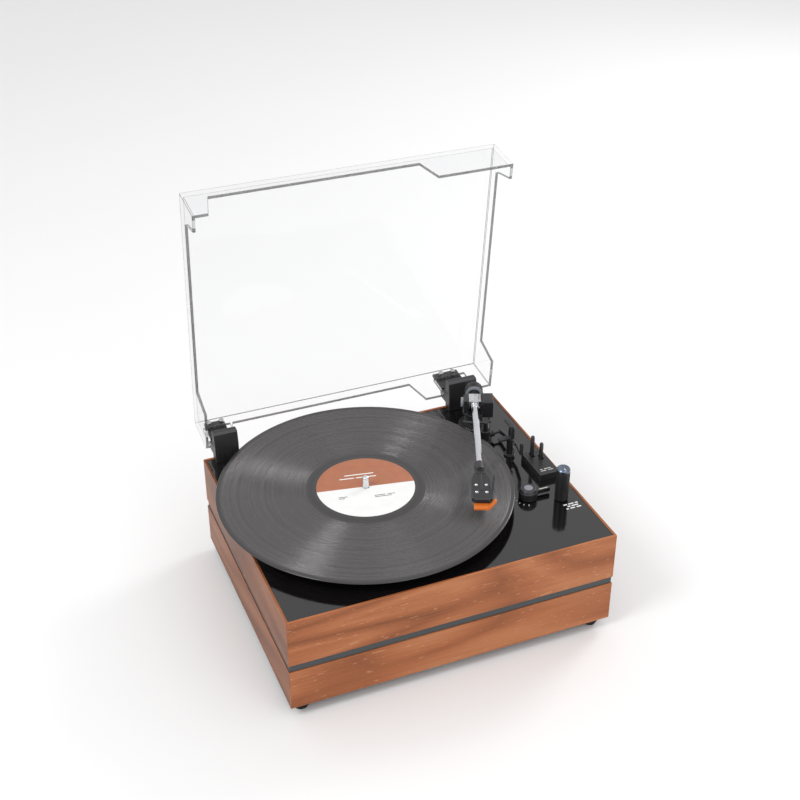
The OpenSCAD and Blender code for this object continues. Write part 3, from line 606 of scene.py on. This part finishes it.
def islands(node):
    """The box of each separate solid in a CAD node, in order of place."""
    shape = clean_shape(node)
    left = set(shape.verts)
    boxes = []
    while left:
        reach = [left.pop()]
        spots = []
        while reach:
            vert = reach.pop()
            spots.append(vert.co.copy())
            for edge in vert.link_edges:
                other = edge.other_vert(vert)
                if other in left:
                    left.remove(other)
                    reach.append(other)
        low = Vector([min(spot[axis] for spot in spots) for axis in range(3)])
        high = Vector([max(spot[axis] for spot in spots) for axis in range(3)])
        boxes.append((low, high))
    shape.free()
    return sorted(boxes, key=lambda box: tuple(round(value, 5) for value in box[0]))


def turn_z(degrees):
    return Matrix.Rotation(math.radians(degrees), 4, "Z")


def make_stage():
    shape = bmesh.new()
    bmesh.ops.create_circle(shape, cap_ends=True, segments=96, radius=FLOOR_RADIUS)
    mesh = mesh_from(shape, "floor")
    floor = bpy.data.objects.new("floor", mesh)
    mesh.materials.append(pale_floor())
    bpy.context.scene.collection.objects.link(floor)


make_camera()
make_room()
make_stage()

for node, obj in frame["nodes"].items():
    slot = SLOTS[node]
    look = LOOKS.get(slot) or LOOKS["wood_x"]
    obj.data.materials.clear()
    obj.data.materials.append(look)

SPINDLE_PLACE = Matrix.Translation((SPINDLE.x, SPINDLE.y, DECK_Z))
# The second look paints a highlight on the rounded edges.
BLACK = (LOOKS["black_plastic"], LOOKS["black_edge_highlight"])


def deck_height(node):
    """The top of a CAD node above the deck, in mm."""
    return (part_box(node)[1].z - DECK_Z) / MM


def joint_place(name, height=0.0):
    """A place on a joint's axis, that many mm above the deck."""
    place = Vector(JOINTS[name]["pos_m"])
    return Matrix.Translation((place.x, place.y, DECK_Z + height * MM))


# ---- Plinth ------------------------------------------------------------------------------------

# The left and right boards take the walnut with painted shade.
for side, look in (("front", "wood_x"), ("rear", "wood_x"), ("left", "wood_y_painted_shade"), ("right", "wood_y_painted_shade")):
    for level in ("upper", "lower"):
        finished(f"{level}_board_{side}", 0.35 * MM, LOOKS[look], LOOKS["wood_edge"], edge=1)
finished("accent_band", 0.3 * MM)
finished("top_plate", 0.25 * MM)


def crosses(boxes, half, width, depth, up=(0, 0, -1)):
    """Cutters in metres for the cross recess in each screw head, whose outer face looks along up."""
    shape = bmesh.new()
    face = Vector(up).to_track_quat("Z", "Y").to_matrix().to_4x4()
    corner = [(half, width), (width, width), (width, half)]
    outline = corner + [(-x, y) for x, y in reversed(corner)]
    outline += [(-x, -y) for x, y in outline]
    for low, high in boxes:
        outer = (low + high) / 2
        for axis in range(3):
            if up[axis]:
                outer[axis] = (high if up[axis] > 0 else low)[axis]
        place = Matrix.Translation(outer / MM) @ face
        inner_ring, outer_ring = (
            [shape.verts.new(place @ Vector((x, y, level))) for x, y in outline] for level in (-depth, depth)
        )
        shape.faces.new(inner_ring)
        shape.faces.new(outer_ring)
        for index, vert in enumerate(inner_ring):
            shape.faces.new((inner_ring[index - 1], vert, outer_ring[index], outer_ring[index - 1]))
    shape.transform(Matrix.Scale(MM, 4))
    return shape


def make_underside():
    panel = finished("base_panel", 0.3 * MM)
    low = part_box("base_panel")[0].z / MM
    half_length, half_width, row_pitch, rows = 26, 1.6, 9, 9
    vents = bmesh.new()
    for column in (-70, 70):
        for row in range(rows):
            x = PLINTH.x / MM + column
            y = PLINTH.y / MM + (row - rows // 2) * row_pitch
            corner = (x - half_length, y - half_width, low - 1)
            add_slab(vents, corner, (x + half_length, y + half_width, low + 1.6))
    vents.transform(Matrix.Scale(MM, 4))
    carve(panel, vents)
    screws = finished("base_screws", 0.15 * MM)
    carve(screws, crosses(islands("base_screws"), 1.9, 0.35, 0.8))
    screws = finished("foot_screws", 0.15 * MM)
    carve(screws, crosses(islands("foot_screws"), 2.0, 0.4, 0.9))
    finished("feet", 0.3 * MM)
    boxes = islands("feet")
    reach = (boxes[0][1].x - boxes[0][0].x) / 2 / MM
    rib = [
        (reach - 0.6, -0.6), (reach - 0.1, -0.5), (reach + 0.15, 0), (reach - 0.1, 0.5), (reach - 0.6, 0.6),
    ]
    places = [
        Matrix.Translation(((low.x + high.x) / 2 / MM, (low.y + high.y) / 2 / MM, height))
        for low, high in boxes for height in (3.2, 5.4, 7.6)
    ]
    put("foot_ribs", repeated(turned(rib, 48), places), Matrix(), "plinth", "rubber")


def make_rear_panel():
    finished("rear_panel", 0.3 * MM)
    finished("power_rocker", 0.4 * MM)
    finished("power_inlet", 0.3 * MM)
    finished("rca_jacks", 0.2 * MM)
    low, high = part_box("rear_panel")
    outward = Matrix.Rotation(math.radians(-90), 4, "X")
    ring = [(6.5, 0), (7.3, 0), (7.3, 0.07), (6.5, 0.07), (6.5, 0)]
    centres = [(a + b) / 2 for a, b in islands("rca_jacks")]
    for name, ink, chosen in (("red_rings", "red_ink", centres[::2]), ("white_rings", "ink", centres[1::2])):
        places = [Matrix.Translation((c.x / MM, high.y / MM, c.z / MM)) @ outward for c in chosen]
        put(name, repeated(turned(ring, 64), places), Matrix(), "plinth", "panel", LOOKS[ink])
    inset, head_r, head_h = 4 * MM, 2.3, 1.4
    columns, levels = (low.x + inset, high.x - inset), (low.z + inset, high.z - inset)
    spots = [Vector((x, high.y, z)) for x in columns for z in levels]
    head = [(0, 0), (head_r, 0), (head_r, 0.5), (1.7, 1.1), (0.9, 1.35), (0, head_h)]
    places = [Matrix.Translation(spot / MM) @ outward for spot in spots]
    screws = put("panel_screws", repeated(turned(head, 48), places), Matrix(), "plinth", "steel")
    span = Vector((head_r, 0, head_r)) * MM
    outer = Vector((0, head_h * MM, 0))
    heads = [(spot - span, spot + span + outer) for spot in spots]
    carve(screws, crosses(heads, 1.5, 0.28, 0.7, (0, 1, 0)))
    rocker = middle("power_rocker")
    frame_bars = slabs(
        ((-12.2, 0, -8.6), (-10.4, 0.9, 8.6)), ((10.4, 0, -8.6), (12.2, 0.9, 8.6)),
        ((-10.4, 0, 7.2), (10.4, 0.9, 8.6)), ((-10.4, 0, -8.6), (10.4, 0.9, -7.2)),
    )
    place = Matrix.Translation((rocker.x, high.y, rocker.z))
    put("rocker_frame", frame_bars, place, "plinth", "panel", bevel=0.25 * MM)
    bars = slabs(*[((x, 0, -12.4), (x + 9, 0.06, -11.9)) for x in (-52, -36, -12, 4)])
    place = Matrix.Translation(((low.x + high.x) / 2, high.y, (low.z + high.z) / 2))
    put("panel_marks", bars, place, "plinth", "panel", LOOKS["ink"])


make_underside()
make_rear_panel()

# ---- Record and platter ------------------------------------------------------------------------

HOLE_R = 3.65
TRACK_GAPS = (131, 113.5, 97, 79.5, 66)
LABEL_TURN = -10.5
REAR_BARS = ((-24, 16, 15), (-7, 16, 7), (2, 16, 12), (-18, 21.5, 30))
FRONT_BARS = ((6, -17, 11), (19, -17, 8), (6, -19.4, 17), (-30, -14, 9), (-30, -16.4, 6))


def printed(bars, thick, low, high):
    """Flat printed dashes, each from its corner (x, y) and length in mm."""
    return slabs(*[((x, y, low), (x + length, y + thick, high)) for x, y, length in bars])


def make_record():
    """The pressed disc with its raised rim, bands of tracks with gaps between, and dead wax."""
    low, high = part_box("record")
    reach = (high.x - low.x) / 2 / MM
    bottom, top = (low.z - DECK_Z) / MM, (high.z - DECK_Z) / MM
    land, gap_rise = top - 0.2, 0.07
    points = [(HOLE_R, bottom), (50, bottom), (54, bottom + 0.2), (reach - 4.5, bottom + 0.2),
              (reach - 2.5, bottom), (reach - 0.5, bottom + 0.2), (reach, bottom + 0.7), (reach, top - 0.7),
              (reach - 0.2, top - 0.35), (reach - 0.6, top - 0.12), (reach - 1.4, top), (reach - 2.5, top),
              (reach - 4.2, land + 0.02), (reach - 4.6, land)]
    for gap in TRACK_GAPS:
        points += [(gap + 0.9, land), (gap + 0.5, land + gap_rise)]
        points += [(gap - 0.5, land + gap_rise), (gap - 0.9, land)]
    points += [(61.2, land), (60.9, land - 0.05), (60.2, land - 0.05), (59.9, land), (54.5, land),
               (54, land + 0.02), (51.4, top - 0.02), (51.0, top), (HOLE_R, top), (HOLE_R, bottom)]
    disc = put("record_disc", turned(points, 256), SPINDLE_PLACE, "platter", "vinyl")
    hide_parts("record")


def make_label():
    low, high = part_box("record_label")
    reach = (high.x - low.x) / 2 / MM
    bottom, top = (low.z - DECK_Z) / MM, (high.z - DECK_Z) / MM
    place = SPINDLE_PLACE @ turn_z(LABEL_TURN)
    points = [(HOLE_R, bottom), (reach, bottom), (reach, top - 0.04), (reach - 0.1, top),
              (reach - 14.8, top), (reach - 15, top - 0.05), (reach - 15.4, top - 0.05), (reach - 15.6, top),
              (HOLE_R, top), (HOLE_R, bottom)]
    label = put("label_disc", turned(points, 192), place, "platter", "label")
    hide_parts("record_label")
    rear = printed(REAR_BARS, 1.5, top, top + 0.04)
    put("label_bars_rear", rear, place, "platter", "label", LOOKS["ink"])
    front = printed(FRONT_BARS, 0.9, top, top + 0.04)
    put("label_bars_front", front, place, "platter", "label", LOOKS["dark_ink"])


def make_platter():
    finished("platter", 0.3 * MM)
    finished("slip_mat", 0.3 * MM)
    finished("spindle", 0.2 * MM)
    low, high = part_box("platter")
    reach = (high.x - low.x) / 2 / MM
    middle_z = ((low.z + high.z) / 2 - DECK_Z) / MM
    strobe = [
        (reach - 0.6, middle_z - 2), (reach + 0.05, middle_z - 1.9), (reach + 0.3, middle_z - 1.6, True),
        (reach + 0.3, middle_z + 1.6, True), (reach + 0.05, middle_z + 1.9), (reach - 0.6, middle_z + 2),
    ]
    put("strobe_ring", turned(strobe, teeth=120, depth=0.4), SPINDLE_PLACE, "platter", "platter_metal",
        LOOKS["castings"])


make_record()
make_label()
make_platter()

# ---- Tonearm -----------------------------------------------------------------------------------

ARM_PIVOT = Vector(JOINTS["arm_tilt"]["pos_m"])
ARM_RIGHT = Vector(JOINTS["arm_tilt"]["axis"]).normalized()
ARM_BACK = Vector((0, 0, 1)).cross(ARM_RIGHT)
ARM_AXES = Matrix((ARM_RIGHT, ARM_BACK, (0, 0, 1))).transposed()
ARM = Matrix.Translation(ARM_PIVOT) @ ARM_AXES.to_4x4()
ALONG_ARM = Matrix.Rotation(math.radians(-90), 4, "X")


def along_arm(distances):
    """Places on the arm's axis, that many mm behind its pivot."""
    return [Matrix.Translation((0, distance, 0)) @ ALONG_ARM for distance in distances]


def stacked(heights):
    return [Matrix.Translation((0, 0, height)) for height in heights]


def make_tonearm():
    for node in ("tonearm_base", "arm_yoke", "cartridge", "counterweight", "arm_rest", "arm_lock",
                 "cue_housing", "cue_lever", "cue_lift"):
        finished(node, 0.3 * MM, *BLACK, edge=1)
    finished("headshell", 0.4 * MM, *BLACK, edge=1)
    finished("arm_tube", 0.4 * MM)
    finished("arm_shaft", 0.3 * MM, LOOKS["grey_plastic"])
    finished("stylus", 0.3 * MM)
    ring = [(3.3, -0.9), (4.1, -0.8), (4.5, -0.3), (4.5, 0.3), (4.1, 0.8), (3.3, 0.9)]
    collars = repeated(turned(ring, 64), along_arm((-9.2, -12.4)))
    put("tube_collars", collars, ARM, "arm", "chrome")
    band = [(5.0, -0.55), (5.45, -0.3), (5.45, 0.3), (5.0, 0.55)]
    bands = repeated(turned(band, 64), along_arm((-120, -122.2, -124.4, -126.6)))
    put("headshell_bands", bands, ARM, "arm", "black_plastic", LOOKS["black_edge_highlight"])
    weight = ARM @ ALONG_ARM
    grip = [(9.2, 17.4), (9.5, 17.6, True), (9.95, 18.1, True), (9.95, 25.4, True), (9.5, 25.9, True),
            (9.2, 26.1)]
    put("weight_grip", turned(grip, teeth=60, depth=0.35), weight, "counterweight", "black_plastic")
    dial = [(6.4, 15.9), (9.3, 15.9), (9.7, 16.1), (9.7, 16.7), (9.3, 16.9)]
    put("weight_dial", turned(dial, 96), weight, "counterweight", "black_plastic", LOOKS["grey_plastic"])
    cap = [(0, 28.5), (2.2, 28.5), (2.4, 28.3), (5.6, 28.3), (6.0, 28.0), (6.0, 27.6)]
    put("weight_cap", turned(cap, 64), weight, "counterweight", "black_plastic", LOOKS["grey_plastic"])
    bolt = [(0, 0), (1.7, 0), (1.7, 0.9), (1.4, 1.15), (0, 1.15)]
    places = [Matrix.Translation((x, y, 2.4)) for x in (-5, 5) for y in (-158, -170)]
    bolts = put("headshell_bolts", repeated(turned(bolt, 32), places), ARM, "arm", "chrome")
    slots = bmesh.new()
    for place in places:
        add_slab(slots, (-2, -0.25, 0.7), (2, 0.25, 2), place)
    slots.transform(Matrix.Scale(MM, 4))
    carve(bolts, slots, ARM)
    rib = slabs(((-1.1, -166, 2.2), (1.1, -136, 3.1)), ((-3.4, -137.4, 2.2), (3.4, -135, 3.1)))
    put("headshell_rib", rib, ARM, "arm", "black_plastic", *BLACK, bevel=0.3 * MM, edge=1)
    block = slabs(((-5.2, -6.4, 5.7), (5.2, 6.4, 6.7)))
    put("bearing_cap", block, ARM, "arm", "chrome", bevel=0.4 * MM)
    cheek = slabs(((8.9, -8.6, 5.2), (19.1, 8.6, 6.1)), ((10.5, -6.5, 6.0), (17.5, 6.5, 6.5)))
    put("housing_lid", cheek, ARM, "yoke", "black_plastic", *BLACK, bevel=0.3 * MM, edge=1)
    pivot = joint_place("arm_swing")
    trims = [(10.3, 4.6), (10.8, 4.8), (10.8, 5.6), (10.3, 5.8)]
    rings = repeated(turned(trims, 96), stacked((0, 3, 6, 9)))
    put("base_rings", rings, pivot, "plinth", "black_plastic", LOOKS["black_edge_highlight"])
    ticks = bmesh.new()
    for index in range(13):
        length = 2.4 if index % 4 == 0 else 1.4
        add_slab(ticks, (-0.18, -15.9, 2.98), (0.18, -15.9 + length, 3.04), turn_z(-60 + index * 10))
    put("base_ticks", ticks, pivot, "plinth", "black_plastic", LOOKS["ink"])
    rest = [(2.6, 0.4), (3.6, 0.5), (3.9, 0.9), (3.9, 1.7), (3.6, 2.1), (2.6, 2.2)]
    low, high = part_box("arm_rest")
    foot = Matrix.Translation((high.x - 3.5 * MM, (low.y + high.y) / 2, DECK_Z))
    rings = repeated(turned(rest, 48), stacked((4, 14)))
    put("rest_rings", rings, foot, "plinth", "black_plastic", LOOKS["black_edge_highlight"])


make_tonearm()

# ---- Controls ----------------------------------------------------------------------------------

SELECTOR_R = 9.5
HOUSING_BARS = ((-7, -16, 6), (1.5, -16, 5.5), (-7, -13.2, 3), (-2.2, -13.2, 8))
VOLUME_BARS = ((-3.5, -12.2, 4), (2, -12.2, 6), (9.6, -12.2, 3), (-0.5, -15.6, 3), (4, -15.6, 7.5),
               (-3.5, -19, 2.5), (1, -19, 5), (8, -19, 5))


def grip_ring(reach, low, high, teeth):
    """A knurled sleeve round a knob."""
    points = [(reach - 0.4, low), (reach + 0.05, low + 0.1), (reach + 0.3, low + 0.4, True),
              (reach + 0.3, high - 0.4, True), (reach + 0.05, high - 0.1), (reach - 0.4, high)]
    return turned(points, teeth=teeth, depth=0.32)


def make_controls():
    for node in ("toggle_housing", "speed_toggle", "autostop_toggle", "volume_knob", "selector_knob"):
        finished(node, 0.35 * MM, *BLACK, edge=1)
    low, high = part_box("volume_knob")
    reach, top = (high.x - low.x) / 2 / MM, deck_height("volume_knob")
    place = joint_place("volume_turn")
    put("volume_grip", grip_ring(reach, 1.6, top - 4.5, 40), place, "volume_knob", "black_plastic")
    cap = [(reach + 0.05, top - 3.4), (reach + 0.12, top - 3.0), (reach + 0.12, top - 1.1),
           (reach - 0.9, top + 0.1), (reach - 1.6, top + 0.22), (reach - 2.2, top + 0.05), (0, top + 0.05)]
    put("volume_cap", turned(cap, 64), place, "volume_knob", "black_plastic", LOOKS["knob_cap"])
    line = slabs(((-0.4, -reach + 1.9, top + 0.02), (0.4, -1.6, top + 0.16)))
    put("volume_line", line, place, "volume_knob", "black_plastic", LOOKS["ink"])
    reach, top = SELECTOR_R, deck_height("selector_knob")
    place = joint_place("selector_turn")
    put("selector_grip", grip_ring(reach, 1.3, top - 3.6, 48), place, "selector_knob", "black_plastic")
    # The cap disc is part of the knob; its lighter grey is a painted highlight on the knob's top.
    cap = [(4.6, top - 0.1), (4.5, top + 0.25), (4.0, top + 0.4), (0, top + 0.4)]
    put("selector_highlight_cap", turned(cap, 48), place, "selector_knob", "black_plastic", LOOKS["grey_plastic"])
    line = slabs(((12, -0.4, 6.95), (22.4, 0.4, 7.1)))
    put("selector_line", line, place, "selector_knob", "black_plastic", LOOKS["ink"])
    for name, body in (("speed_tilt", "speed_toggle"), ("autostop_tilt", "autostop_toggle")):
        top = deck_height(body)
        # The ribs are lighter grey lines: a painted highlight on the dark toggles.
        ribs = slabs(*[((-1.5, -2.0, top - z), (1.5, 2.0, top - z + 0.6)) for z in (2.4, 3.8, 5.2, 6.6)])
        place = joint_place(name)
        put(body + "_ribs", ribs, place, body, "black_plastic", LOOKS["black_edge_highlight"], bevel=0.15 * MM)
    low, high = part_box("toggle_housing")
    centre = Matrix.Translation(((low.x + high.x) / 2, (low.y + high.y) / 2, high.z))
    marks = printed(HOUSING_BARS, 0.7, 0, 0.05)
    put("housing_marks", marks, centre, "plinth", "black_plastic", LOOKS["ink"])
    marks = printed(VOLUME_BARS, 1.7, 0, 0.05)
    put("volume_marks", marks, joint_place("volume_turn"), "plinth", "deck", LOOKS["ink"])
    rays = bmesh.new()
    for index in range(5):
        add_slab(rays, (12.2, -0.35, 0), (14.6, 0.35, 0.05), turn_z(160 + index * 22))
    put("selector_marks", rays, joint_place("selector_turn"), "plinth", "deck", LOOKS["ink"])


make_controls()

# ---- Hinges and cover --------------------------------------------------------------------------


def make_hinges():
    for side in ("left", "right"):
        # The rounded edges take the lighter grey: a painted highlight.
        finished(f"hinge_base_{side}", 0.6 * MM, LOOKS["hinge_plastic"], LOOKS["black_edge_highlight"], edge=1)
        finished(f"hinge_leaf_{side}", 0.5 * MM, LOOKS["hinge_plastic"], LOOKS["black_edge_highlight"], edge=1)
        low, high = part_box(f"hinge_base_{side}")
        half = (high.x - low.x) / 2 / MM
        place = Matrix.Translation(((low.x + high.x) / 2, low.y, DECK_Z))
        columns = (-half + 4, -half / 2 + 2, half / 2 - 2, half - 4)
        ribs = slabs(*[((x - 0.6, -0.3, 3), (x + 0.6, 0.6, 18)) for x in columns])
        put(f"hinge_ribs_{side}", ribs, place, "plinth", "hinge_plastic", bevel=0.25 * MM)
    finished("hinge_screws", 0.2 * MM)
    finished("hinge_pins", 0.3 * MM)
    finished("lid_bumpers", 0.1 * MM)


def make_cover():
    """The clear cover: its sheet faces are clear, and its narrow faces and corners are painted darker, a
    painted reflection.
    """
    reach = 3.3 * MM
    skin = 0.05 * MM
    shape = clean_shape("dust_cover")
    bmesh.ops.recalc_face_normals(shape, faces=shape.faces)
    tree = BVHTree.FromBMesh(shape)
    solid = {face: 0.0 for face in shape.faces}
    for corners in shape.calc_loop_triangles():
        a, b, c = (loop.vert.co for loop in corners)
        face = corners[0].face
        area = (b - a).cross(c - a).length / 2
        hit = tree.ray_cast((a + b + c) / 3 - face.normal * skin, -face.normal, reach)
        solid[face] += area if hit[0] is None else -area
    for face, share in solid.items():
        face.material_index = int(share > 0)
    piece = add_piece("clear_cover", mesh_from(shape, "clear_cover"), "cover", "clear",
                      LOOKS["clear"], LOOKS["clear_edge_painted_reflection"])
    round_edges(piece, 0.4 * MM, material=1)
    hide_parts("dust_cover")


make_hinges()
make_cover()
